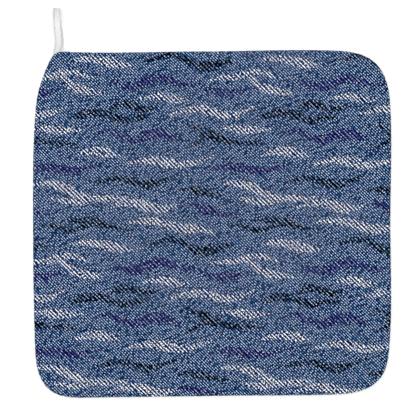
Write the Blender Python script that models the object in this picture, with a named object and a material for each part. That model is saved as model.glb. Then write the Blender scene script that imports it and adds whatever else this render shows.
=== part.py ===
"""Square hand towel with a hanging loop at one corner, lying flat with its printed face up.

Units are metres and +Z is up. The origin is the middle of the towel's underside, +X runs along the
towel's width, and +Y runs along its length to the side where the loop is sewn in.
"""
import math
from collections import namedtuple

import bmesh
import bpy
import numpy as np
from mathutils import Vector
from mathutils.geometry import interpolate_bezier

MM = 0.001
CLEARANCE = 0.3 * MM

# Towel: two layers of short pile cloth, sewn together round the rim and turned right side out.
RIM_THICKNESS = 3.4 * MM
MIDDLE_THICKNESS = 3.7 * MM
SEAM_HEIGHT = RIM_THICKNESS / 2
EDGE_STEP = 10 * MM
EDGE_STEP_TURN = 10.0

# Points on the outline, anticlockwise, in millimetres from the middle. The heading is the direction
# in which the edge runs there, in degrees from +X. The left side leans in towards the loop.
OutlinePoint = namedtuple("OutlinePoint", "place x y heading")
OUTLINE = (
    OutlinePoint("lower side, left end", -102.0, -145.5, 1),
    OutlinePoint("lower side, middle", 0.0, -144.1, 1),
    OutlinePoint("lower right corner, start", 103.5, -142.9, 2),
    OutlinePoint("lower right corner, middle", 139.0, -131.5, 45),
    OutlinePoint("lower right corner, end", 149.0, -98.0, 86),
    OutlinePoint("right side, middle", 149.5, 0.0, 90),
    OutlinePoint("upper right corner, start", 149.8, 91.0, 92),
    OutlinePoint("upper right corner, middle", 140.0, 131.5, 127),
    OutlinePoint("upper right corner, end", 102.5, 145.4, 178),
    OutlinePoint("upper side, middle", -10.0, 144.65, 180),
    OutlinePoint("loop corner, start", -125.0, 144.5, 177),
    OutlinePoint("loop corner, end", -134.2, 139.9, 238),
    OutlinePoint("leaning side, start", -141.8, 123.0, 248),
    OutlinePoint("leaning side, end", -148.3, 91.0, 266),
    OutlinePoint("left side, middle", -150.1, 20.0, 270),
    OutlinePoint("lower left corner, start", -148.4, -101.0, 272),
    OutlinePoint("lower left corner, middle", -138.7, -136.5, 312),
)

# Section of the rim, from the underside over the seam's groove to the upper side: the distance in
# from the outline and the height, in millimetres.
RimPoint = namedtuple("RimPoint", "inset height")
RIM_SECTION = (
    RimPoint(1.60, 0.00),
    RimPoint(0.75, 0.14),
    RimPoint(0.20, 0.55),
    RimPoint(0.00, 1.10),
    RimPoint(0.12, 1.48),
    RimPoint(0.50, 1.70),
    RimPoint(0.12, 1.92),
    RimPoint(0.00, 2.30),
    RimPoint(0.20, 2.85),
    RimPoint(0.75, 3.26),
    RimPoint(1.80, 3.40),
    RimPoint(3.60, 3.46),
)
# Rings of the upper side, as a share of the rim's inner ring. The cloth reaches its full thickness
# at the second one.
FACE_RINGS = (0.955, 0.90, 0.81, 0.70, 0.58, 0.45, 0.31, 0.16)

# Shallow unevenness of the upper side: the distance between crests along each axis, the share of
# a wave by which it is moved, and how far it rises and falls, in millimetres.
Wave = namedtuple("Wave", "x_length y_length shift rise")
FACE_WAVES = (
    Wave(118, 390, 0.11, 0.11),
    Wave(-340, 102, 0.37, 0.10),
    Wave(88, 97, 0.52, 0.05),
)

# Hanging loop: one flat ribbon, folded over, with both ends sewn into the seam at the corner. Its
# object stands where the ribbon leaves the seam.
LOOP_PLACE = Vector((-128.6, 143.6, 0.0)) * MM
LOOP_REACH = 37.2 * MM
RIBBON_WIDTH = 5.3 * MM
RIBBON_THICKNESS = 0.7 * MM
RIBBON_STEP = 2.0 * MM
SEWN_DEPTH = 5.4 * MM
EYE_HEIGHT = 6.4 * MM
END_FLAT = 2.0 * MM
END_BEND_STEPS = 5
SLOT_MARGIN = 0.5 * MM

RESTING = RIBBON_THICKNESS / 2
LEG_SPACING = RIBBON_THICKNESS + CLEARANCE
SEWN_LOW = SEAM_HEIGHT - LEG_SPACING / 2
SEWN_HIGH = SEAM_HEIGHT + LEG_SPACING / 2
TURN_HEIGHT = RESTING + RIBBON_THICKNESS + EYE_HEIGHT
END_BEND = (TURN_HEIGHT - RESTING - END_FLAT) / 2
TURN_START = LOOP_REACH - RIBBON_THICKNESS / 2 - END_BEND

# Middle line of each leg of the ribbon: how far it is out of the seam, its place to the side and
# its height.
LegPoint = namedtuple("LegPoint", "out side height")
LOWER_LEG = (
    LegPoint(-SEWN_DEPTH, 1.7 * MM, SEWN_LOW),
    LegPoint(1.2 * MM, 1.7 * MM, SEWN_LOW),
    LegPoint(7.5 * MM, 1.9 * MM, RESTING),
    LegPoint(15.0 * MM, 1.4 * MM, RESTING),
    LegPoint(24.0 * MM, -0.6 * MM, RESTING),
    LegPoint(TURN_START, -1.7 * MM, RESTING),
)
UPPER_LEG = (
    LegPoint(-SEWN_DEPTH, -1.6 * MM, SEWN_HIGH),
    LegPoint(1.2 * MM, -1.6 * MM, SEWN_HIGH),
    LegPoint(4.0 * MM, -0.7 * MM, 2.6 * MM),
    LegPoint(9.0 * MM, -0.1 * MM, 3.9 * MM),
    LegPoint(22.0 * MM, -0.9 * MM, 6.6 * MM),
    LegPoint(TURN_START, -1.25 * MM, TURN_HEIGHT),
)

PRINTED_CLOTH = (0.084, 0.124, 0.212, 1.0)
WHITE_RIBBON = (0.80, 0.80, 0.81, 1.0)


def clear_scene():
    for scene_object in list(bpy.data.objects):
        bpy.data.objects.remove(scene_object, do_unlink=True)


def make_material(name, colour, roughness):
    material = bpy.data.materials.new(name)
    material.use_nodes = True
    shader = material.node_tree.nodes["Principled BSDF"]
    shader.inputs["Base Color"].default_value = colour
    shader.inputs["Roughness"].default_value = roughness
    shader.inputs["Metallic"].default_value = 0.0
    material.diffuse_color = colour
    return material


def add_object(name, form, material):
    """Makes an object of the bmesh and frees the bmesh."""
    bmesh.ops.recalc_face_normals(form, faces=form.faces)
    mesh = bpy.data.meshes.new(name)
    form.to_mesh(mesh)
    form.free()
    mesh.materials.append(material)
    mesh.shade_smooth()
    mesh.set_sharp_from_angle(angle=math.radians(40))
    new_object = bpy.data.objects.new(name, mesh)
    bpy.context.scene.collection.objects.link(new_object)
    return new_object


def bridge_rings(form, lower, upper):
    """Joins two rings of the same number of points with a band of faces."""
    for index, corner in enumerate(lower):
        following = (index + 1) % len(lower)
        form.faces.new((corner, lower[following], upper[following], upper[index]))


def direction(degrees):
    return Vector((math.cos(math.radians(degrees)), math.sin(math.radians(degrees)), 0.0))


def towel_outline():
    """Points round the outline, each span as near to a circle's arc as its two headings allow."""
    points = []
    for index, start in enumerate(OUTLINE):
        end = OUTLINE[(index + 1) % len(OUTLINE)]
        start_point = Vector((start.x, start.y, 0.0)) * MM
        end_point = Vector((end.x, end.y, 0.0)) * MM
        turn = (end.heading - start.heading + 180) % 360 - 180
        chord = (end_point - start_point).length
        handle = chord / 3 / math.cos(math.radians(turn) / 4) ** 2
        steps = max(math.ceil(chord / EDGE_STEP), math.ceil(abs(turn) / EDGE_STEP_TURN))
        span = interpolate_bezier(
            start_point,
            start_point + direction(start.heading) * handle,
            end_point - direction(end.heading) * handle,
            end_point,
            steps + 1,
        )
        points += span[:-1]
    return points


def inward(points):
    """The direction into the towel at each point of an anticlockwise outline."""
    normals = []
    for index, _ in enumerate(points):
        along = points[(index + 1) % len(points)] - points[index - 1]
        normals.append(Vector((-along.y, along.x, 0.0)).normalized())
    return normals


def face_height(x, y, share):
    """Height of the upper side, where share is 1 at the rim and 0 in the middle."""
    grown = min(1.0, (1.0 - share) / (1.0 - FACE_RINGS[1]))
    height = RIM_THICKNESS + (MIDDLE_THICKNESS - RIM_THICKNESS) * grown
    for wave in FACE_WAVES:
        turns = x / (wave.x_length * MM) + y / (wave.y_length * MM) + wave.shift
        height += grown * wave.rise * MM * math.sin(math.tau * turns)
    return height


def make_towel(material):
    outline = towel_outline()
    normals = inward(outline)
    form = bmesh.new()
    rings = []
    for row in RIM_SECTION:
        lift = Vector((0.0, 0.0, row.height * MM))
        ring = [p + n * (row.inset * MM) + lift for p, n in zip(outline, normals)]
        rings.append([form.verts.new(point) for point in ring])
    inner = [vert.co.copy() for vert in rings[-1]]
    for share in FACE_RINGS:
        ring = []
        for point in inner:
            x, y = point.x * share, point.y * share
            ring.append(form.verts.new((x, y, face_height(x, y, share))))
        rings.append(ring)
    for lower, upper in zip(rings, rings[1:]):
        bridge_rings(form, lower, upper)
    form.faces.new(list(reversed(rings[0])))
    middle = form.verts.new((0.0, 0.0, face_height(0.0, 0.0, 0.0)))
    last = rings[-1]
    for index, corner in enumerate(last):
        form.faces.new((corner, last[(index + 1) % len(last)], middle))
    return add_object("towel", form, material)


def smooth_values(out, values, wanted):
    """Values on a smooth line through the rows that is level at both ends and never overshoots."""
    run = np.diff(out)
    slope = np.diff(values) / run
    before, after = slope[:-1], slope[1:]
    same_way = before * after > 0
    meeting = np.zeros(len(out))
    meeting[1:-1][same_way] = 2 * (before * after)[same_way] / (before + after)[same_way]
    row = np.clip(np.searchsorted(out, wanted, side="right") - 1, 0, len(run) - 1)
    t = (wanted - out[row]) / run[row]
    level_part = values[row] * (1 + 2 * t) * (1 - t) ** 2 + values[row + 1] * (3 - 2 * t) * t**2
    slope_part = meeting[row] * t * (1 - t) ** 2 - meeting[row + 1] * t**2 * (1 - t)
    return level_part + run[row] * slope_part


def leg_line(rows):
    out, side, height = np.array(rows).T
    steps = round((out[-1] - out[0]) / RIBBON_STEP)
    wanted = np.linspace(out[0], out[-1], steps + 1)
    sides, heights = smooth_values(out, side, wanted), smooth_values(out, height, wanted)
    return [Vector(point) for point in zip(sides, wanted, heights)]


def end_turn():
    """The folded end: two bends with a short straight stretch between them."""
    points = []
    bends = ((RESTING + END_BEND, -90), (TURN_HEIGHT - END_BEND, 0))
    for height, start in bends:
        for step in range(END_BEND_STEPS + 1):
            turned = start + 90 * step / END_BEND_STEPS
            angle = math.radians(turned)
            upper_share = (turned + 90) / 180
            side = LOWER_LEG[-1].side * (1 - upper_share) + UPPER_LEG[-1].side * upper_share
            out = TURN_START + END_BEND * math.cos(angle)
            points.append(Vector((side, out, height + END_BEND * math.sin(angle))))
    return points


def make_loop(material):
    line = leg_line(LOWER_LEG)[:-1] + end_turn() + leg_line(UPPER_LEG)[-2::-1]
    half_width = Vector((RIBBON_WIDTH / 2, 0.0, 0.0))
    form = bmesh.new()
    rings = []
    for index, point in enumerate(line):
        along = line[min(index + 1, len(line) - 1)] - line[max(index - 1, 0)]
        inner = Vector((0.0, -along.z, along.y)).normalized() * (RIBBON_THICKNESS / 2)
        ring = (
            point + half_width + inner,
            point - half_width + inner,
            point - half_width - inner,
            point + half_width - inner,
        )
        rings.append([form.verts.new(corner) for corner in ring])
    for first, second in zip(rings, rings[1:]):
        bridge_rings(form, first, second)
    form.faces.new(list(reversed(rings[0])))
    form.faces.new(rings[-1])
    loop = add_object("hanging_loop", form, material)
    loop.location = LOOP_PLACE
    return loop


def cut_seam_slot(towel):
    """Opens the seam where the ribbon's two ends go in between the layers."""
    left = UPPER_LEG[0].side - RIBBON_WIDTH / 2 - SLOT_MARGIN
    right = LOWER_LEG[0].side + RIBBON_WIDTH / 2 + SLOT_MARGIN
    back = -SEWN_DEPTH - SLOT_MARGIN
    front = SEWN_DEPTH
    height = 2 * RIBBON_THICKNESS + 3 * CLEARANCE
    form = bmesh.new()
    bmesh.ops.create_cube(form, size=1.0)
    bmesh.ops.scale(form, vec=(right - left, front - back, height), verts=form.verts)
    mesh = bpy.data.meshes.new("seam_slot_cutter")
    form.to_mesh(mesh)
    form.free()
    cutter = bpy.data.objects.new("seam_slot_cutter", mesh)
    bpy.context.scene.collection.objects.link(cutter)
    cutter.location = LOOP_PLACE + Vector(((left + right) / 2, (front + back) / 2, SEAM_HEIGHT))
    cutter.hide_render = True
    cutter.display_type = "WIRE"
    slot = towel.modifiers.new("Seam slot", "BOOLEAN")
    slot.operation = "DIFFERENCE"
    slot.solver = "EXACT"
    slot.object = cutter


def main():
    clear_scene()
    towel = make_towel(make_material("printed_pile_cloth", PRINTED_CLOTH, 0.92))
    make_loop(make_material("satin_ribbon", WHITE_RIBBON, 0.45))
    cut_seam_slot(towel)


main()
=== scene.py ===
"""Square hand towel of printed pile cloth with a satin hanging loop, lying flat on a pale surface.

Units are metres and +Z is up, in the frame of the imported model. Lengths that are named or described
as millimetres are turned to metres with MM.
"""
import math

import bpy
import numpy as np
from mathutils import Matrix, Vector


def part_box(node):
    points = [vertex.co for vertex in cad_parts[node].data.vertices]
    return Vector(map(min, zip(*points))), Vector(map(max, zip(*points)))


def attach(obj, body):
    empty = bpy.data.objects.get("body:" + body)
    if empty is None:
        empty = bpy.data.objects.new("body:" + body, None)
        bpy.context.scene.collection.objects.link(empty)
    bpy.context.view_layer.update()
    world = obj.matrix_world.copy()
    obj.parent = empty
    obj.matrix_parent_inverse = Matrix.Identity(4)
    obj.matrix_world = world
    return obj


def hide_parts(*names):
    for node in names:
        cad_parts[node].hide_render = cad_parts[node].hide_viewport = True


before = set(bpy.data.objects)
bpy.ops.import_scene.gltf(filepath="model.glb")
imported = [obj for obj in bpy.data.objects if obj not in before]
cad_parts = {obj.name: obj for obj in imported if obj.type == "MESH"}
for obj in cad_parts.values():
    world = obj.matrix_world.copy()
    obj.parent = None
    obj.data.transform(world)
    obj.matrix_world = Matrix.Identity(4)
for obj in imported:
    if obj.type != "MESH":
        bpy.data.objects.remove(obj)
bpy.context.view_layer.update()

MM = 0.001

# Camera, floor and light

# The photograph's frame is a square, seen from straight above the towel.
VIEW_WIDTH = 348.4 * MM
VIEW_MIDDLE = (-3.35 * MM, 13.4 * MM, 3.4 * MM)
LENS_MM = 150.0
SENSOR_MM = 36.0

FLOOR_SIZE = 6.0
FLOOR_COLOUR = "FCFCFB"
FLOOR_GRAIN_COLOUR = "FFFFFE"
FLOOR_GRAINS_PER_MM = 0.9
AMBIENT_STRENGTH = 0.55
KEY_PLACE = (-0.2, 0.45, 2.9)
KEY_SIZE = 3.6
KEY_POWER = 72.0

# Towel

FACE_PITCH = 1.4 * MM
# The middle of the face has square cells. This power of the share of the way to the rim turns them
# to follow the outline.
OUTLINE_POWER = 4
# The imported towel's underside lies this far in from the outline. Only its points are lower than the
# level.
UNDERSIDE_INSET = 1.6 * MM
UNDERSIDE_LEVEL = 0.02 * MM
STEPS_PER_OUTLINE_POINT = 12

# Section of the rim from the upper side, over the seam's groove, to the underside: the distance in
# from the outline and the height, in millimetres. The print ends in the groove.
UPPER_RIM = (
    (3.60, 3.46), (2.60, 3.45), (1.80, 3.40), (1.20, 3.34), (0.75, 3.24), (0.42, 3.08),
    (0.20, 2.85), (0.04, 2.56), (0.00, 2.30), (0.05, 2.05), (0.20, 1.85), (0.50, 1.70),
)
LOWER_RIM = (
    (0.20, 1.55), (0.05, 1.36), (0.00, 1.10), (0.05, 0.82), (0.20, 0.55), (0.42, 0.33),
    (0.75, 0.16),
)
MIDDLE_RISE = 0.24 * MM
RISE_WIDTH = 16 * MM

# Broad unevenness of the upper side: crest spacing along each axis, shift as a share of a wave, and
# rise, in millimetres. It fades out towards the rim.
FACE_WAVES = (
    (118, 390, 0.11, 0.10),
    (-340, 102, 0.37, 0.09),
    (88, 97, 0.52, 0.05),
    (47, -61, 0.20, 0.035),
    (-33, 52, 0.71, 0.025),
)
WAVE_FADE = 8 * MM

# Short puckers that the seam draws in the rim. The gain makes up for taking the mean of the waves.
# They lift the rim fully from PUCKER_HEIGHT_MM up, and start PUCKER_START_MM in from the outline.
PUCKER_LENGTHS = (4.5 * MM, 11.0 * MM)
PUCKER_COUNT = 14
PUCKER_GAIN = 2.2
PUCKER_RISE = 0.11 * MM
PUCKER_REACH = 7 * MM
PUCKER_PUSH = 0.13 * MM
PUCKER_HEIGHT_MM = 3.4
PUCKER_START_MM = 0.4

# Print

# One repeat of the print, charted: wavy dashes of white, near-black and violet on the blue
# ground. A dash is a row of points along its middle: x, y and full width, in millimetres from the
# towel's middle.
REPEAT = (157.45, 154.1)
WHITE_DASHES = (
    ((-116, 137, 1), (-106, 138.5, 5), (-95, 137.5, 6.5), (-85, 135.5, 8.5), (-77, 133.5, 6.5),
     (-67, 132.5, 1)),
    ((-1, 120.5, 1), (9, 122.5, 4), (20, 123, 5), (32, 127, 5), (42, 127, 4), (50, 124.5, 3.5),
     (57, 122, 1)),
    ((28, 123, 2), (34, 121, 4), (40, 115.5, 6), (49, 112.5, 7.5), (59, 110.5, 5), (68, 110, 1.5)),
    ((-60, 105, 1), (-52, 106, 3), (-44, 107, 6), (-34, 105.5, 7.5), (-27, 104, 4.5),
     (-19, 104.5, 1)),
    ((-34, 92, 1), (-26, 94, 3), (-18, 96, 6), (-8, 96, 6.5), (2, 93, 7), (12, 91, 6.5),
     (22, 92.5, 5), (35, 98.5, 1)),
    ((8, 80, 2), (17, 80, 4.5), (26, 79, 7.5), (36, 78.5, 5.5), (49, 79.5, 1)),
    ((-115, 57, 1), (-107, 60, 4.5), (-97, 61, 8), (-87, 59.5, 7.5), (-77, 57, 1.5)),
    ((-72, 50, 1), (-62, 52.5, 4), (-50, 53.5, 6.5), (-38, 51.5, 8.5), (-28, 49.5, 6.5),
     (-14, 51.5, 4), (1, 57, 1)),
    ((-150, 33, 1), (-141, 34, 4), (-130, 32.5, 6.5), (-122, 30, 8), (-112, 24.5, 7),
     (-102, 21.5, 5.5), (-89, 21.5, 6), (-80, 21.5, 4), (-71, 23, 1)),
    ((-134, 21, 1), (-125, 19.5, 4), (-114, 18, 5.5), (-104, 19.5, 4)),
    ((-87, 13.5, 1), (-76, 17, 4.5), (-66, 17.5, 6.5), (-54, 15, 9), (-43, 12.5, 7), (-29, 16, 1)),
    ((-70, 1.5, 1), (-58, 2.5, 5), (-46, 2, 6.5), (-34, -2, 7.5), (-23, -4, 8), (-10, -4, 5.5),
     (-2, -6.5, 3.5), (4, -10, 1)),
)
BLACK_DASHES = (
    ((-57, 136.5, 1), (-45, 139, 3.5), (-34, 141.5, 5), (-25, 139, 5), (-15, 133, 6.5),
     (-6, 131.5, 9.5), (4, 133.5, 7.5), (12, 136, 3.5), (19, 135, 1)),
    ((-119, 88.5, 1), (-109, 91.5, 6.5), (-98, 93, 7), (-86, 91, 6.5), (-77, 87, 6),
     (-68, 87.5, 5.5), (-59, 89.5, 4.5), (-50, 88.5, 1)),
    ((-86, 95, 1.5), (-80, 99, 6), (-73, 100.5, 6.5), (-64, 98, 5.5), (-56, 96, 6),
     (-45, 98.5, 1.5)),
    ((-21, 84, 1), (-12, 79.5, 4.5), (-3, 75, 9), (8, 70.5, 6.5), (20, 68, 4.5), (32, 67.5, 4),
     (44, 66.5, 1)),
    ((-22, 63, 1), (-14, 67, 3.5), (-4, 72.5, 5)),
    ((-98, 34, 1), (-87, 37, 4), (-76, 38.5, 5), (-66, 35.5, 6.5), (-54, 33, 7.5), (-43, 35.5, 5),
     (-29, 41, 1)),
    ((-28, 28.5, 1), (-19, 29, 4), (-8, 27, 7.5), (2, 25, 5), (12, 23.5, 1)),
    ((-126, 3, 1.5), (-114, 3, 4), (-103, 2, 7.5), (-95, 1, 7.5), (-84, -3, 4), (-67, -5.5, 1)),
    ((-142, -1, 1), (-132, -1.5, 4), (-123, -5, 5), (-113, -4.5, 4), (-102, 0, 4)),
)
VIOLET_DASHES = (
    ((-85, 120, 1), (-75, 116, 5), (-64, 115, 8), (-54, 119, 8.5), (-43, 122.5, 7.5),
     (-34, 119.5, 6), (-24, 116.5, 4), (-11, 117, 1.5)),
    ((-6, 112, 1), (3, 110.5, 5), (13, 109.5, 7.5), (21, 110.5, 5), (31, 113.5, 1)),
    ((-97, 76, 1), (-86, 77.5, 4.5), (-76, 73.5, 5), (-66, 70, 7), (-55, 74, 8.5), (-44, 76, 9),
     (-34, 73, 6), (-25, 70, 1)),
    ((-4, 45, 1), (8, 47.5, 4.5), (20, 47.5, 7), (32, 45.5, 8), (43, 44.5, 5.5), (54, 47, 4),
     (67, 50, 1)),
    ((-25, 17, 1), (-15, 15.5, 5), (-6, 12, 9), (5, 9.5, 6), (16, 8, 3.5), (26, 9, 1)),
)
DASHES = {"white": WHITE_DASHES, "black": BLACK_DASHES, "violet": VIOLET_DASHES}
# A dash is drawn as discs at this step along its middle, none of them less wide than its ends. Places
# further out than the fade count as that far from it.
DASH_STEP_MM = 0.8
DASH_FADE_MM = 4.0
DASH_END_MM = 2.0

# Hanging loop

# The ribbon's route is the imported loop's: how far each point of a leg's middle line is out of the
# seam, its place to the side and its height, in millimetres.
LOOP_PLACE = Vector((-128.6 * MM, 143.6 * MM, 0.0))
LOWER_LEG = (
    (-5.4, 1.7, 1.2), (1.2, 1.7, 1.2), (7.5, 1.9, 0.35), (15.0, 1.4, 0.35), (24.0, -0.6, 0.35),
    (34.3, -1.7, 0.35),
)
UPPER_LEG = (
    (-5.4, -1.6, 2.2), (1.2, -1.6, 2.2), (4.0, -0.7, 2.6), (9.0, -0.1, 3.9), (22.0, -0.9, 6.6),
    (34.3, -1.25, 7.45),
)
END_BEND_MM = 2.55
END_BEND_STEP_DEGREES = 10
RIBBON_STEP_MM = 0.7
RIBBON_WIDTH = 5.3 * MM
RIBBON_MIDDLE = 0.44 * MM
RIBBON_SELVEDGE = 0.60 * MM
# The ribbon's section, in shares of half its width: its points, where the selvedge starts and is at
# its full thickness, and where the edge starts to round off and how much of it does.
SECTION_POINTS = (0.0, 0.25, 0.5, 0.74, 0.86, 0.94, 0.985, 1.0)
SELVEDGE_START = 0.78
SELVEDGE_FULL = 0.92
ROUNDING_START = 0.93
ROUNDING = 0.9
# The space between the two layers for the ribbon's sewn ends: its lowest and its highest corner, to
# the side, out of the seam and up from the loop's place, in millimetres.
SEWN_SPACE_LOW = (-4.75, -5.9, 0.55)
SEWN_SPACE_HIGH = (4.85, 5.4, 2.85)

# Colours and weaves

# The printed twill: fine lines all over the ground and bolder lines in the dashes. Each line is made of
# short floats, lighter and darker by chance, and each float takes a share of the chance of those next
# to it away from its own, so that light and dark ones take turns.
TWILL_DEGREES = 45.7
FINE_PITCH_MM = 1.826
BOLD_PITCH_MM = 2.60
SLOW_PITCH_MM = 6.13
FLOATS_ACROSS = 2
FLOAT_MM = 0.9
FLOAT_STAGGER = 0.37
DARKER_NEXT_ALONG = 0.30
DARKER_NEXT_ACROSS = 0.10
MOTTLE = 0.05
MOTTLE_MM = 7.0
LINE_RELIEF = 0.3
# Each bold line of a dash ends at a place of its own: by up to RAGGED_MM, changing over a reach along
# the line. The noise is read far enough apart for two lines to have nothing in common.
RAGGED_MM = 2.2
RAGGED_REACH_MM = 5.0
RAGGED_LINE_STEP = 3.71
DASH_EDGE_MM = 0.4

# A style gives the mean tone of one part of the print, how much the lines and the floats change it,
# and its colours from tone 0 to tone 1, where bend is the power by which the tone is bent towards the
# dark or the light ones. The edge layer is the slice of noise that a dash's ragged ends are read from.
GROUND_STYLE = dict(
    level=-0.005, fine=0.90, bold=0.0, slow=0.0, chance=1.22, bend=2.35,
    colours=((0.0, "000B34"), (0.2, "0C4070"), (0.5, "4484B6"), (1.0, "CCE0FF")))
DASH_STYLES = {
    "violet": dict(
        level=0.045, fine=0.41, bold=0.44, slow=-0.17, chance=1.00, bend=1.57, edge_layer=9.0,
        colours=((0.0, "060032"), (0.2, "302876"), (0.5, "4A6896"), (1.0, "D2E8FF"))),
    "black": dict(
        level=-0.495, fine=0.50, bold=0.70, slow=-0.25, chance=1.53, bend=0.78, edge_layer=8.0,
        colours=((0.0, "000003"), (0.2, "0B2034"), (0.5, "4774B2"), (1.0, "DEE9FF"))),
    "white": dict(
        level=0.32, fine=0.50, bold=0.78, slow=-0.11, chance=1.76, bend=3.5, edge_layer=8.0,
        colours=((0.0, "000C3C"), (0.15, "063274"), (0.4, "3A72BA"), (0.7, "98C5E8"),
                 (1.0, "FCFEFB"))),
}

# The plain back: the spacing of its tufts, drawn coarser than real ones so that they show, the size
# of its faint patches, and how much the tufts change the tone.
TUFT_MM = 0.8
PATCH_MM = 22
TUFT_SHARE = 0.35

# The satin: the width and length of its floats, drawn coarser than real ones so that they show. A
# painted highlight runs along a line a little to one side of the ribbon's middle. Painted shade darkens
# it away from that line towards the selvedges, and towards the fold, between the distances given. The
# lower leg, which the upper one shades, is lifted with painted light, fully so at the given distance
# from the fold.
SATIN_FLOAT_MM = (0.35, 3.0)
PAINTED_HIGHLIGHT_LINE_MM = 0.5
SELVEDGE_PAINTED_SHADE = -0.40
SELVEDGE_PAINTED_SHADE_MM = (1.5, 2.9)
FOLD_PAINTED_SHADE = -0.27
FOLD_PAINTED_SHADE_MM = (15.0, 4.0)
LOWER_LEG_PAINTED_LIGHT = 0.35
LOWER_LEG_PAINTED_LIGHT_MM = 12.0

# Node settings, named for what they do
ADD = {"operation": "ADD"}
SUBTRACT = {"operation": "SUBTRACT"}
MULTIPLY = {"operation": "MULTIPLY"}
MULTIPLY_ADD = {"operation": "MULTIPLY_ADD"}
ABSOLUTE = {"operation": "ABSOLUTE"}
ROUND_DOWN = {"operation": "FLOOR"}
COSINE = {"operation": "COSINE"}
SCALE = {"operation": "SCALE"}
FLAT_NOISE = {"noise_dimensions": "2D"}
MIX_COLOURS = {"data_type": "RGBA"}


def linear(hex_colour):
    """An sRGB hex colour as the linear RGBA that shaders take."""
    channels = [int(hex_colour[i:i + 2], 16) / 255 for i in (0, 2, 4)]
    return (*(c / 12.92 if c <= 0.04045 else ((c + 0.055) / 1.055) ** 2.4 for c in channels), 1.0)


def node(tree, kind, settings=None, inputs=None):
    """Adds a node with its settings. An input is a value, or the output to link to it."""
    added = tree.nodes.new(kind)
    for name, value in (settings or {}).items():
        setattr(added, name, value)
    for name, value in (inputs or {}).items():
        if isinstance(value, bpy.types.NodeSocket):
            tree.links.new(value, added.inputs[name])
        else:
            added.inputs[name].default_value = value
    return added


def new_material(name):
    """An empty material: its node tree and its output node."""
    material = bpy.data.materials.new(name)
    material.use_nodes = True
    tree = material.node_tree
    tree.nodes.clear()
    return material, tree, node(tree, "ShaderNodeOutputMaterial")


def set_ramp(ramp_node, colours, bend=1.0, steps=12):
    """Fills a colour ramp so that (place, sRGB hex) colours follow each other evenly to the eye.

    The ramp runs from the first place to the last, and bend is the power by which it does.
    """
    places = [place for place, _ in colours]
    channels = np.array([[int(colour[i:i + 2], 16) for i in (0, 2, 4)] for _, colour in colours])
    elements = ramp_node.color_ramp.elements
    for step in range(steps):
        element = elements[step] if step < 2 else elements.new(1.0)
        element.position = step / (steps - 1)
        bent = places[0] + (places[-1] - places[0]) * element.position ** bend
        shade = [round(np.interp(bent, places, channel)) for channel in channels.T]
        element.color = linear("{:02X}{:02X}{:02X}".format(*shade))
    return ramp_node


# Mesh helpers


def smooth_line(points, per_span, closed=False):
    """A smooth line through rows of numbers, with per_span steps between two rows."""
    points = np.asarray(points, float)
    if closed:
        following = np.roll(points, -1, 0)
        after = np.linalg.norm(following - points, axis=1)[:, None]
        slope_after = (following - points) / after
        before, slope_before = np.roll(after, 1, 0), np.roll(slope_after, 1, 0)
        slope = (slope_before * after + slope_after * before) / (before + after)
        tangent, next_tangent = slope * after, np.roll(slope, -1, 0) * after
    else:
        tangent = np.gradient(points, axis=0)
        following, next_tangent = points[1:], tangent[1:]
        points, tangent = points[:-1], tangent[:-1]
    t = (np.arange(per_span) / per_span)[None, :, None]
    line = (
        points[:, None] * (2 * t**3 - 3 * t**2 + 1)
        + tangent[:, None] * (t**3 - 2 * t**2 + t)
        + following[:, None] * (3 * t**2 - 2 * t**3)
        + next_tangent[:, None] * (t**3 - t**2)
    ).reshape(-1, points.shape[1])
    return line if closed else np.vstack([line, following[-1:]])


def smoothstep(low, high, value):
    """0 up to low and 1 from high on, with a smooth rise between them. Low may be the larger one."""
    share = np.clip((value - low) / (high - low), 0.0, 1.0)
    return share * share * (3 - 2 * share)


def make_mesh_object(name, vertices, quads, others=()):
    """A smooth-shaded object at the origin, from its vertices, its quads and then its other faces."""
    mesh = bpy.data.meshes.new(name)
    mesh.from_pydata(vertices.tolist(), [], [*map(tuple, quads), *map(tuple, others)])
    mesh.shade_smooth()
    made = bpy.data.objects.new(name, mesh)
    bpy.context.scene.collection.objects.link(made)
    return made


def corner_vertices(mesh):
    """The vertex at each corner of each face."""
    corners = np.empty(len(mesh.loops), int)
    mesh.loops.foreach_get("vertex_index", corners)
    return corners


def write_attribute(mesh, name, values):
    """Writes one number for each corner of each face."""
    attribute = mesh.attributes.new(name, "FLOAT", "CORNER")
    attribute.data.foreach_set("value", np.asarray(values, np.float32))


def write_flat_cloth(mesh, flat):
    """Writes each corner's place on the cloth laid flat, in metres, as a UV map."""
    places = np.asarray(flat, np.float32).ravel()
    mesh.uv_layers.new(name="flat_cloth").uv.foreach_set("vector", places)


# The towel's outline and grid


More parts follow.
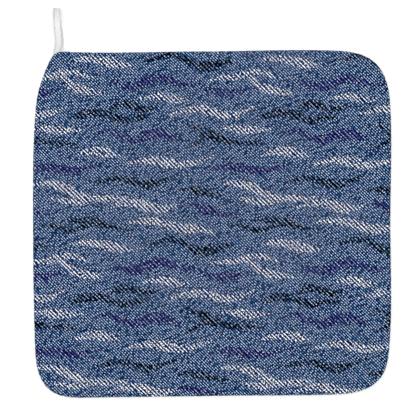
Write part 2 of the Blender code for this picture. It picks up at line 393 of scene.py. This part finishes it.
class Outline:
    """The towel's outline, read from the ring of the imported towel's underside."""

    def __init__(self, cad_towel):
        places = np.array([vertex.co for vertex in cad_towel.data.vertices])
        underside = places[places[:, 2] < UNDERSIDE_LEVEL][:, :2]
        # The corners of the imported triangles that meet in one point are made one.
        ring = np.unique(np.round(underside, 7), axis=0)
        ring = ring[np.argsort(np.arctan2(ring[:, 1], ring[:, 0]))]
        points = smooth_line(ring, STEPS_PER_OUTLINE_POINT, closed=True)
        along = np.roll(points, -1, 0) - np.roll(points, 1, 0)
        outward = np.stack([along[:, 1], -along[:, 0]], 1)
        outward /= np.linalg.norm(outward, axis=1)[:, None]
        points += outward * UNDERSIDE_INSET
        steps = np.linalg.norm(np.roll(points, -1, 0) - points, axis=1)
        self.length = steps.sum()
        angle = np.unwrap(np.arctan2(points[:, 1], points[:, 0]))
        run = np.concatenate([[0.0], np.cumsum(steps)[:-1]])
        self.angle = np.concatenate([angle, angle[:1] + math.tau])
        self.run = np.concatenate([run, [self.length]])
        self.points = np.vstack([points, points[:1]])
        self.outward = np.vstack([outward, outward[:1]])

    def towards(self, places):
        """The outline's point, outward direction and run round it, in the direction of each place."""
        angle = np.arctan2(places[:, 1], places[:, 0])
        angle = self.angle[0] + (angle - self.angle[0]) % math.tau
        point = np.stack([np.interp(angle, self.angle, self.points[:, k]) for k in (0, 1)], -1)
        outward = np.stack([np.interp(angle, self.angle, self.outward[:, k]) for k in (0, 1)], -1)
        outward /= np.linalg.norm(outward, axis=-1, keepdims=True)
        return point, outward, np.interp(angle, self.angle, self.run)


class Puckers:
    """Seam puckers as a smooth random wave round the outline, mostly from -1 to 1."""

    def __init__(self, length, seed):
        random = np.random.default_rng(seed)
        wanted = random.uniform(*PUCKER_LENGTHS, PUCKER_COUNT)
        self.turns = np.round(length / wanted) / length
        self.shift = random.uniform(0, 1, PUCKER_COUNT)

    def at(self, run):
        """The wave at each run round the outline."""
        phase = run[:, None] * self.turns + self.shift
        return np.sin(math.tau * phase).mean(-1) * PUCKER_GAIN


def grid_border(columns, rows):
    """Indices round a grid's border, anticlockwise from its lower left corner."""
    across = columns + 1
    return np.concatenate([
        np.arange(0, columns),
        np.arange(columns, across * rows + columns, across),
        np.arange(across * rows + columns, across * rows, -1),
        np.arange(across * rows, 0, -across),
    ])


def grid_quads(columns, rows):
    """The faces of a grid, row by row, each anticlockwise."""
    corner = (np.arange(rows)[:, None] * (columns + 1) + np.arange(columns)).ravel()
    return np.stack([corner, corner + 1, corner + columns + 2, corner + columns + 1], 1)


def fitted_grid(outline, columns, rows, half_size, inset):
    """A grid that is square in the middle and follows the outline at its border.

    Returns each point's place, its share from the middle (0) to the border (1) and its run
    round the outline.
    """
    s, t = np.meshgrid(np.linspace(-1, 1, columns + 1), np.linspace(-1, 1, rows + 1))
    s, t = s.ravel(), t.ravel()
    share = np.maximum(abs(s), abs(t))
    plain = np.stack([s * half_size[0], t * half_size[1]], 1)
    point, outward, run = outline.towards(plain)
    weight = (share**OUTLINE_POWER)[:, None]
    place = (1 - weight) * plain + weight * share[:, None] * (point - outward * inset)
    return place, share, run


# The print


def dash_depth(places, dashes):
    """How deep each place lies inside the nearest dash, in millimetres, and less than 0 outside it."""
    places = places / MM
    depth = np.full(len(places), -DASH_FADE_MM)
    for rows in dashes:
        longest = np.hypot(*np.diff(np.array(rows)[:, :2], axis=0).T).max()
        for x, y, width in smooth_line(rows, math.ceil(longest / DASH_STEP_MM)):
            dx, dy = places[:, 0] - x, places[:, 1] - y
            dx -= np.round(dx / REPEAT[0]) * REPEAT[0]
            dy -= np.round(dy / REPEAT[1]) * REPEAT[1]
            np.maximum(depth, max(width, DASH_END_MM) / 2 - np.hypot(dx, dy), out=depth)
    return depth


# Materials


def flat_cloth_mm(tree):
    """The place on the cloth laid flat, in millimetres."""
    flat = node(tree, "ShaderNodeUVMap", {"uv_map": "flat_cloth"})
    return node(tree, "ShaderNodeVectorMath", SCALE, {0: flat.outputs["UV"], "Scale": 1 / MM}).outputs[0]


def twill_waves(tree, across):
    """Waves from -1 to 1 across the twill lines: the fine, the bold and the slow ones."""
    waves = []
    for pitch in (FINE_PITCH_MM, BOLD_PITCH_MM, SLOW_PITCH_MM):
        turn = node(tree, "ShaderNodeMath", MULTIPLY, {0: across, 1: math.tau / pitch})
        waves.append(node(tree, "ShaderNodeMath", COSINE, {0: turn.outputs[0]}).outputs[0])
    return waves


def row_number(tree, across, rows_per_mm):
    """The number of the row that a place lies in, where rows have their middle on whole numbers."""
    row = node(tree, "ShaderNodeMath", MULTIPLY_ADD, {0: across, 1: rows_per_mm, 2: 0.5})
    return node(tree, "ShaderNodeMath", ROUND_DOWN, {0: row.outputs[0]}).outputs[0]


def float_chance(tree, across, along):
    """The tone that each float has by chance, and the mean of all."""
    row = row_number(tree, across, FLOATS_ACROSS / FINE_PITCH_MM)
    column = node(tree, "ShaderNodeMath", MULTIPLY, {0: along, 1: 1 / FLOAT_MM})
    column = node(tree, "ShaderNodeMath", MULTIPLY_ADD, {0: row, 1: FLOAT_STAGGER, 2: column.outputs[0]})
    column = node(tree, "ShaderNodeMath", ROUND_DOWN, {0: column.outputs[0]})
    cell = node(tree, "ShaderNodeCombineXYZ", None, {0: row, 1: column.outputs[0]})
    shares = {
        (0, 0, 0): 1.0,
        (0, 1, 0): -DARKER_NEXT_ALONG,
        (0, -1, 0): -DARKER_NEXT_ALONG,
        (1, 0, 0): -DARKER_NEXT_ACROSS,
        (-1, 0, 0): -DARKER_NEXT_ACROSS,
    }
    chance = 0.0
    for step, share in shares.items():
        beside = node(tree, "ShaderNodeVectorMath", ADD, {0: cell.outputs[0], 1: step})
        drawn = node(tree, "ShaderNodeTexWhiteNoise", FLAT_NOISE, {"Vector": beside.outputs[0]})
        chance = node(tree, "ShaderNodeMath", MULTIPLY_ADD, {
            0: drawn.outputs["Value"], 1: share, 2: chance}).outputs[0]
    return chance, sum(shares.values()) / 2


def style_colour(tree, style, sources, mean_chance):
    """The colour of one part of the print, from the three waves, the floats' chance and the mottle."""
    tone = style["level"] - style["chance"] * mean_chance - MOTTLE / 2
    gains = (style["fine"], style["bold"], style["slow"], style["chance"], MOTTLE)
    for source, gain in zip(sources, gains):
        tone = node(tree, "ShaderNodeMath", MULTIPLY_ADD, {0: source, 1: gain, 2: tone}).outputs[0]
    ramp = node(tree, "ShaderNodeValToRGB", None, {"Fac": tone})
    return set_ramp(ramp, style["colours"], style["bend"]).outputs[0]


def dash_cover(tree, name, across, along):
    """1 on the dashes of one colour and 0 off them, where each line ends at a place of its own."""
    depth = node(tree, "ShaderNodeAttribute", {"attribute_name": name + "_depth"}).outputs["Fac"]
    line = row_number(tree, across, 1 / BOLD_PITCH_MM)
    apart = node(tree, "ShaderNodeMath", MULTIPLY, {0: line, 1: RAGGED_LINE_STEP})
    slow = node(tree, "ShaderNodeMath", MULTIPLY, {0: along, 1: 1 / RAGGED_REACH_MM})
    place = node(tree, "ShaderNodeCombineXYZ", None, {
        0: apart.outputs[0], 1: slow.outputs[0], 2: DASH_STYLES[name]["edge_layer"]})
    ragged = node(tree, "ShaderNodeTexNoise", None, {
        "Vector": place.outputs[0], "Scale": 1.0, "Detail": 0.0})
    reach = node(tree, "ShaderNodeMath", MULTIPLY_ADD, {0: ragged.outputs[0], 1: RAGGED_MM, 2: depth})
    return node(tree, "ShaderNodeMapRange", {"interpolation_type": "SMOOTHSTEP"}, {
        "Value": reach.outputs[0],
        "From Min": RAGGED_MM / 2 - DASH_EDGE_MM, "From Max": RAGGED_MM / 2 + DASH_EDGE_MM}).outputs[0]


def printed_pile_cloth():
    """Short-pile polyester cloth with a denim-look print: matt, with soft thread-like relief."""
    material, tree, output = new_material("printed_pile_cloth")
    in_mm = flat_cloth_mm(tree)
    turned = node(tree, "ShaderNodeMapping", None, {
        "Vector": in_mm, "Rotation": (0, 0, -math.radians(TWILL_DEGREES))})
    axes = node(tree, "ShaderNodeSeparateXYZ", None, {0: turned.outputs[0]})
    across, along = axes.outputs[0], axes.outputs[1]
    waves = twill_waves(tree, across)
    chance, mean_chance = float_chance(tree, across, along)
    mottle = node(tree, "ShaderNodeTexNoise", FLAT_NOISE, {
        "Vector": in_mm, "Scale": 1 / MOTTLE_MM, "Detail": 2.0}).outputs[0]

    sources = (*waves, chance, mottle)
    colour = style_colour(tree, GROUND_STYLE, sources, mean_chance)
    for name, style in DASH_STYLES.items():
        shade = style_colour(tree, style, sources, mean_chance)
        cover = dash_cover(tree, name, across, along)
        colour = node(tree, "ShaderNodeMix", MIX_COLOURS, {0: cover, 6: colour, 7: shade}).outputs[2]

    height = node(tree, "ShaderNodeMath", MULTIPLY_ADD, {0: waves[0], 1: LINE_RELIEF, 2: chance})
    relief = node(tree, "ShaderNodeBump", None, {
        "Strength": 0.3, "Distance": 0.15 * MM, "Height": height.outputs[0]})
    shader = node(tree, "ShaderNodeBsdfPrincipled", None, {
        "Base Color": colour, "Roughness": 0.93, "Specular IOR Level": 0.02, "Sheen Weight": 0.02,
        "Sheen Roughness": 0.6, "Normal": relief.outputs[0]})
    tree.links.new(shader.outputs[0], output.inputs["Surface"])
    return material


def plain_pile_cloth():
    """The undyed back of the same cloth: white, matt, with the short pile's soft grain."""
    material, tree, output = new_material("plain_pile_cloth")
    in_mm = flat_cloth_mm(tree)
    tufts = node(tree, "ShaderNodeTexVoronoi", {"voronoi_dimensions": "2D"}, {
        "Vector": in_mm, "Scale": 1 / TUFT_MM}).outputs["Distance"]
    patches = node(tree, "ShaderNodeTexNoise", FLAT_NOISE, {
        "Vector": in_mm, "Scale": 1 / PATCH_MM, "Detail": 4.0})
    tone = node(tree, "ShaderNodeMath", MULTIPLY_ADD, {0: tufts, 1: TUFT_SHARE, 2: patches.outputs[0]})
    colour = set_ramp(node(tree, "ShaderNodeValToRGB", None, {"Fac": tone.outputs[0]}), (
        (0.30, "D9D8D4"), (0.60, "E8E7E3"), (0.95, "F2F1EE")))
    relief = node(tree, "ShaderNodeBump", {"invert": True}, {
        "Strength": 0.6, "Distance": 0.3 * MM, "Height": tufts})
    shader = node(tree, "ShaderNodeBsdfPrincipled", None, {
        "Base Color": colour.outputs[0], "Roughness": 0.95, "Specular IOR Level": 0.08,
        "Sheen Weight": 0.10, "Sheen Roughness": 0.5, "Normal": relief.outputs[0]})
    tree.links.new(shader.outputs[0], output.inputs["Surface"])
    return material


def distance_from(tree, place, middle):
    """How far a place is from a middle, on either side of it."""
    offset = node(tree, "ShaderNodeMath", SUBTRACT, {0: place, 1: middle})
    return node(tree, "ShaderNodeMath", ABSOLUTE, {0: offset.outputs[0]}).outputs[0]


def satin_ribbon(fold_mm):
    """Woven polyester satin: white, with a soft gloss, fine lengthwise floats and firm selvedges.

    The ribbon has painted shade along its selvedges and where it is folded, at fold_mm, and painted
    light on its lower leg.
    """
    material, tree, output = new_material("satin_ribbon")
    in_mm = flat_cloth_mm(tree)
    axes = node(tree, "ShaderNodeSeparateXYZ", None, {0: in_mm})
    stretched = node(tree, "ShaderNodeVectorMath", MULTIPLY, {
        0: in_mm, 1: (1 / SATIN_FLOAT_MM[0], 1 / SATIN_FLOAT_MM[1], 1.0)})
    floats = node(tree, "ShaderNodeTexNoise", FLAT_NOISE, {
        "Vector": stretched.outputs[0], "Scale": 1.0, "Detail": 2.0})
    # Painted shade, darker away from the painted highlight line towards the selvedges.
    selvedge = node(tree, "ShaderNodeMapRange", None, {
        "Value": distance_from(tree, axes.outputs[0], PAINTED_HIGHLIGHT_LINE_MM),
        "From Min": SELVEDGE_PAINTED_SHADE_MM[0], "From Max": SELVEDGE_PAINTED_SHADE_MM[1]})
    # Painted shade across the fold, where the ribbon bends over.
    fold = node(tree, "ShaderNodeMapRange", None, {
        "Value": distance_from(tree, axes.outputs[1], fold_mm),
        "From Min": FOLD_PAINTED_SHADE_MM[0], "From Max": FOLD_PAINTED_SHADE_MM[1]})
    # Painted light on the lower leg, lifting the shade that the upper leg casts on it.
    lower_leg_painted_light = node(tree, "ShaderNodeMapRange", None, {
        "Value": axes.outputs[1], "From Min": fold_mm, "From Max": fold_mm - LOWER_LEG_PAINTED_LIGHT_MM,
        "To Max": LOWER_LEG_PAINTED_LIGHT})
    tone = node(tree, "ShaderNodeMath", ADD, {0: floats.outputs[0], 1: lower_leg_painted_light.outputs[0]})
    for place, painted_shade in ((selvedge, SELVEDGE_PAINTED_SHADE), (fold, FOLD_PAINTED_SHADE)):
        tone = node(tree, "ShaderNodeMath", MULTIPLY_ADD, {
            0: place.outputs[0], 1: painted_shade, 2: tone.outputs[0]})
    colour = set_ramp(node(tree, "ShaderNodeValToRGB", None, {"Fac": tone.outputs[0]}), (
        (0.0, "B0B1B3"), (0.20, "CDCED0"), (0.45, "E5E5E6"), (0.75, "F1F1F1")))
    relief = node(tree, "ShaderNodeBump", None, {
        "Strength": 0.25, "Distance": 0.06 * MM, "Height": floats.outputs[0]})
    shader = node(tree, "ShaderNodeBsdfPrincipled", None, {
        "Base Color": colour.outputs[0], "Roughness": 0.42, "Specular IOR Level": 0.35,
        "Subsurface Weight": 1.0, "Subsurface Scale": 1.5 * MM, "Subsurface Radius": (1.0, 1.0, 1.0),
        "Sheen Weight": 0.08, "Normal": relief.outputs[0]})
    tree.links.new(shader.outputs[0], output.inputs["Surface"])
    return material


def studio_paper():
    """The pale matt surface that the towel lies on, with a faint paper grain."""
    material, tree, output = new_material("studio_paper")
    place = node(tree, "ShaderNodeTexCoord").outputs["Object"]
    grain = node(tree, "ShaderNodeTexNoise", None, {
        "Vector": place, "Scale": FLOOR_GRAINS_PER_MM / MM, "Detail": 2.0})
    colour = node(tree, "ShaderNodeMix", MIX_COLOURS, {
        0: grain.outputs[0], 6: linear(FLOOR_COLOUR), 7: linear(FLOOR_GRAIN_COLOUR)})
    shader = node(tree, "ShaderNodeBsdfPrincipled", None, {
        "Base Color": colour.outputs[2], "Roughness": 0.9, "Specular IOR Level": 0.1})
    tree.links.new(shader.outputs[0], output.inputs["Surface"])
    return material


# The towel


def face_height(face, run, from_rim, puckers):
    """The height of the printed side: its low crown, its broad waves and the seam's puckers."""
    height = np.full(len(face), UPPER_RIM[0][1] * MM)
    height += MIDDLE_RISE * smoothstep(0, RISE_WIDTH, from_rim)
    for x_length, y_length, shift, rise in FACE_WAVES:
        turns = face[:, 0] / (x_length * MM) + face[:, 1] / (y_length * MM) + shift
        height += smoothstep(0, WAVE_FADE, from_rim) * rise * MM * np.sin(math.tau * turns)
    return height + PUCKER_RISE * puckers.at(run) * np.exp(-from_rim / PUCKER_REACH)


def rim_rings(outline, puckers, border, run):
    """The rings of points below the printed side's border, and their places on the flat cloth."""
    point, outward, _ = outline.towards(border)
    pucker = puckers.at(run)[:, None]
    reach = UPPER_RIM[0][0]
    section = (*UPPER_RIM, *LOWER_RIM)
    travelled = 0.0
    rings, flat = [], []
    for (inset_before, height_before), (inset, height) in zip(section, section[1:]):
        travelled += math.hypot(inset - inset_before, height - height_before) * MM
        push = outward * (PUCKER_PUSH * pucker * smoothstep(reach, 0.0, inset))
        near_top = smoothstep(0.0, PUCKER_HEIGHT_MM, height)
        rise = PUCKER_RISE * pucker * near_top * smoothstep(PUCKER_START_MM, reach, inset)
        rings.append(np.column_stack([point - outward * (inset * MM) + push, height * MM + rise]))
        flat.append(point + outward * (travelled - reach * MM))
    return rings, flat


def underside_join(ring, border):
    """Triangles from the rim's last ring to the underside's border, which has half as many points."""
    first, middle, third = ring[0::2], ring[1::2], np.roll(ring, -2)[0::2]
    following = np.roll(border, -1)
    return np.concatenate([
        np.stack([first, border, middle], 1),
        np.stack([middle, border, following], 1),
        np.stack([middle, following, third], 1),
    ])


def towel_shape(outline, half):
    """The towel as one closed cloth: printed side, bullnose rim with the seam, plain underside.

    Returns its vertices, their places on the cloth laid flat, its quads, its triangles, and how many
    of the quads are printed, which come first.
    """
    puckers = Puckers(outline.length, seed=3)
    inner = UPPER_RIM[0][0] * MM
    columns, rows = (2 * round(size / FACE_PITCH) for size in half - inner)
    face, share, run = fitted_grid(outline, columns, rows, half - inner, inner)
    height = face_height(face, run, (1 - share) * half[1], puckers)
    border = grid_border(columns, rows)
    rings, rim_flat = rim_rings(outline, puckers, face[border], run[border])
    below = (columns // 2, rows // 2)
    under, _, _ = fitted_grid(outline, *below, half - UNDERSIDE_INSET, UNDERSIDE_INSET)
    vertices = np.vstack([
        np.column_stack([face, height]), *rings, np.column_stack([under, np.zeros(len(under))])])
    flat = np.vstack([face, *rim_flat, under])

    ring_points = [border]
    for number in range(len(rings)):
        ring_points.append(len(face) + number * len(border) + np.arange(len(border)))
    quads = [grid_quads(columns, rows)]
    for upper, lower in zip(ring_points, ring_points[1:]):
        quads.append(np.stack([upper, lower, np.roll(lower, -1), np.roll(upper, -1)], 1))
    under_start = len(flat) - len(under)
    quads.append(under_start + grid_quads(*below)[:, ::-1])
    triangles = underside_join(ring_points[-1], under_start + grid_border(*below))
    printed = columns * rows + len(border) * (len(UPPER_RIM) - 1)
    return vertices, flat, np.vstack(quads), triangles, printed


def make_towel():
    """The towel with its print and its plain back. Returns it and its cut size."""
    low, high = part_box("towel")
    half = (np.array(high[:2]) - np.array(low[:2])) / 2
    outline = Outline(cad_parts["towel"])
    vertices, flat, quads, triangles, printed = towel_shape(outline, half)
    towel = make_mesh_object("towel_cloth", vertices, quads, triangles)
    mesh = towel.data
    corners = corner_vertices(mesh)
    for name, dashes in DASHES.items():
        write_attribute(mesh, name + "_depth", dash_depth(flat, dashes)[corners])
    write_flat_cloth(mesh, flat[corners])
    mesh.materials.append(printed_pile_cloth())
    mesh.materials.append(plain_pile_cloth())
    side = np.ones(len(mesh.polygons), int)
    side[:printed] = 0
    mesh.polygons.foreach_set("material_index", side)
    open_seam(towel)
    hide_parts("towel")
    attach(towel, "root")
    return towel, 2 * half


def open_seam(towel):
    """Opens the seam where the ribbon's two ends go in between the layers."""
    low, high = Vector(SEWN_SPACE_LOW) * MM, Vector(SEWN_SPACE_HIGH) * MM
    bpy.ops.mesh.primitive_cube_add(size=1.0, location=LOOP_PLACE + (low + high) / 2, scale=high - low)
    space = bpy.context.object
    space.data.materials.append(towel.data.materials[1])
    opening = towel.modifiers.new("open_seam", "BOOLEAN")
    opening.operation = "DIFFERENCE"
    opening.solver = "EXACT"
    opening.material_mode = "TRANSFER"
    opening.object = space
    bpy.context.view_layer.objects.active = towel
    bpy.ops.object.modifier_apply(modifier=opening.name)
    bpy.data.objects.remove(space)


# The loop


def leg_line(rows):
    """A leg's middle line, smooth and never overshooting its rows."""
    out, side, height = np.array(rows, float).T
    wanted = np.linspace(out[0], out[-1], round((out[-1] - out[0]) / RIBBON_STEP_MM) + 1)
    run = np.diff(out)
    row = np.clip(np.searchsorted(out, wanted, side="right") - 1, 0, len(run) - 1)
    t = (wanted - out[row]) / run[row]
    lines = []
    for values in (side, height):
        slope = np.diff(values) / run
        before, after = slope[:-1], slope[1:]
        same_way = before * after > 0
        meeting = np.zeros(len(out))
        meeting[1:-1][same_way] = 2 * (before * after)[same_way] / (before + after)[same_way]
        lines.append(
            values[row] * (1 + 2 * t) * (1 - t) ** 2 + values[row + 1] * (3 - 2 * t) * t**2
            + run[row] * (meeting[row] * t * (1 - t) ** 2 - meeting[row + 1] * t**2 * (1 - t)))
    return np.stack([lines[0], wanted, lines[1]], 1)


def end_bend():
    """The ribbon's turn at the loop's far end: a quarter bend at each leg's last point."""
    out, lower_side, lower_height = LOWER_LEG[-1]
    _, upper_side, upper_height = UPPER_LEG[-1]
    turn = []
    for middle, start in ((lower_height + END_BEND_MM, -90), (upper_height - END_BEND_MM, 0)):
        for degrees in range(start, start + 90 + 1, END_BEND_STEP_DEGREES):
            across = math.cos(math.radians(degrees)) * END_BEND_MM
            up = math.sin(math.radians(degrees)) * END_BEND_MM
            side = lower_side + (upper_side - lower_side) * (degrees + 90) / 180
            turn.append((side, out + across, middle + up))
    return turn


def ribbon_section():
    """The ribbon's section, flat with thicker selvedges and rounded edges: points across and up."""
    half = np.array(SECTION_POINTS)
    places = np.concatenate([-half[:0:-1], half])
    selvedge = smoothstep(SELVEDGE_START, SELVEDGE_FULL, abs(places))
    thick = RIBBON_MIDDLE + (RIBBON_SELVEDGE - RIBBON_MIDDLE) * selvedge
    thick = thick * np.sqrt(1 - smoothstep(ROUNDING_START, 1.0, abs(places)) * ROUNDING)
    across = np.concatenate([places, places[::-1]]) * RIBBON_WIDTH / 2
    return across, np.concatenate([-thick, thick[::-1]]) / 2


def ribbon_shape():
    """The ribbon as one closed strip, folded over.

    Returns its vertices, their places on the ribbon laid flat, its quads, its two end faces, and how
    far along it the fold is.
    """
    line = np.vstack([leg_line(LOWER_LEG)[:-1], end_bend(), leg_line(UPPER_LEG)[-2::-1]]) * MM
    along = np.gradient(line, axis=0)
    inward = np.stack([np.zeros(len(line)), -along[:, 2], along[:, 1]], 1)
    inward /= np.linalg.norm(inward, axis=1)[:, None]
    travelled = np.concatenate([[0.0], np.cumsum(np.linalg.norm(np.diff(line, axis=0), axis=1))])

    across, lift = ribbon_section()
    to_side = np.stack([across, 0 * across, 0 * across], 1)
    rings = line[:, None] + to_side[None] + inward[:, None] * lift[None, :, None]
    vertices = rings.reshape(-1, 3) + np.array(LOOP_PLACE)
    flat = np.stack(np.broadcast_arrays(across[None], travelled[:, None]), -1).reshape(-1, 2)

    count = len(across)
    start = np.arange(len(line) - 1)[:, None] * count
    here = start + np.arange(count)
    following = start + (np.arange(count) + 1) % count
    quads = np.stack([here, following, count + following, count + here], -1).reshape(-1, 4)
    last = (len(line) - 1) * count
    ends = [list(range(count))[::-1], list(range(last, last + count))]
    return vertices, flat, quads, ends, travelled[len(line) // 2]


def make_loop():
    """The hanging loop: one satin ribbon with its ends in the seam."""
    vertices, flat, quads, ends, fold = ribbon_shape()
    loop = make_mesh_object("ribbon_loop", vertices, quads, ends)
    write_flat_cloth(loop.data, flat[corner_vertices(loop.data)])
    loop.data.materials.append(satin_ribbon(fold / MM))
    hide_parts("hanging_loop")
    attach(loop, "root")
    return loop


# Studio


def make_surroundings():
    """Plain white light from all round, and the pale floor."""
    scene = bpy.context.scene
    scene.view_settings.view_transform = "Standard"
    world = bpy.data.worlds.new("studio")
    world.use_nodes = True
    background = world.node_tree.nodes["Background"]
    background.inputs["Color"].default_value = (1.0, 1.0, 1.0, 1.0)
    background.inputs["Strength"].default_value = AMBIENT_STRENGTH
    scene.world = world
    bpy.ops.mesh.primitive_plane_add(size=FLOOR_SIZE, location=(0, 0, 0))
    floor = bpy.context.object
    floor.name = "floor"
    floor.data.materials.append(studio_paper())


def make_key_light():
    """One broad soft light, aimed at the towel's middle."""
    key = bpy.data.lights.new("key", "AREA")
    key.shape = "SQUARE"
    key.size = KEY_SIZE
    key.energy = KEY_POWER
    key_object = bpy.data.objects.new("key", key)
    key_object.location = KEY_PLACE
    key_object.rotation_euler = (-Vector(KEY_PLACE)).to_track_quat("-Z", "Y").to_euler()
    bpy.context.scene.collection.objects.link(key_object)


def make_camera():
    """The camera, looking straight down from where VIEW_WIDTH fills the frame."""
    camera = bpy.data.cameras.new("camera")
    camera.sensor_width = SENSOR_MM
    camera.lens = LENS_MM
    camera_object = bpy.data.objects.new("camera", camera)
    distance = VIEW_WIDTH * LENS_MM / SENSOR_MM
    camera_object.location = Vector(VIEW_MIDDLE) + Vector((0, 0, distance))
    bpy.context.scene.collection.objects.link(camera_object)
    bpy.context.scene.camera = camera_object


bpy.ops.object.select_all(action="DESELECT")
make_surroundings()
make_key_light()
make_camera()
towel, cut_size = make_towel()
loop = make_loop()
